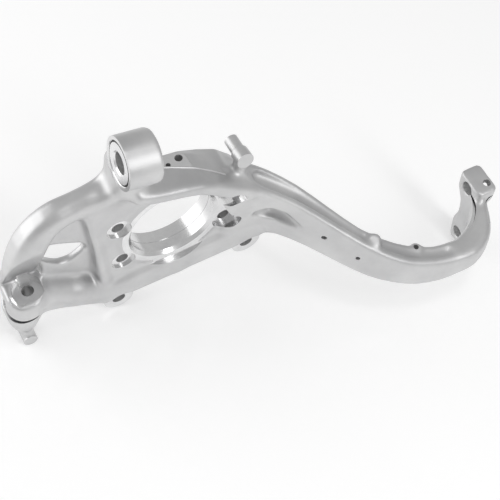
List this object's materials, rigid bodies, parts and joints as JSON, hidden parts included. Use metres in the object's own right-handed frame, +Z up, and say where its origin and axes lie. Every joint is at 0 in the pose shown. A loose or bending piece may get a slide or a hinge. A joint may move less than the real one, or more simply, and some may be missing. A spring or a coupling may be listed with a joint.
{
  "type": "steering knuckle",
  "caption": "Swan-neck steering knuckle: forged aluminium upright with bearing flange, caliper ears, tie rod boss, lower ball joint clamp and a head for upper links.",
  "frame": {"origin": "middle of the wheel bearing bore, half way through the flange", "axes": "+Z up with the knuckle lying on its side, as it rests on a floor; +Y along the bearing axis, outboard; +X towards the head of the neck, which is up in the car, 11.6 degrees above level"},
  "size_m": [0.5662, 0.1638, 0.2856],
  "materials": {
    "forging": "shot-blasted forging, satin, with bright milled faces and bores",
    "bush_steel": "ground steel, turned end faces"
  },
  "bodies": {
    "root": {"knuckle": "forging", "bush": "bush_steel"}
  },
  "joints": []
}
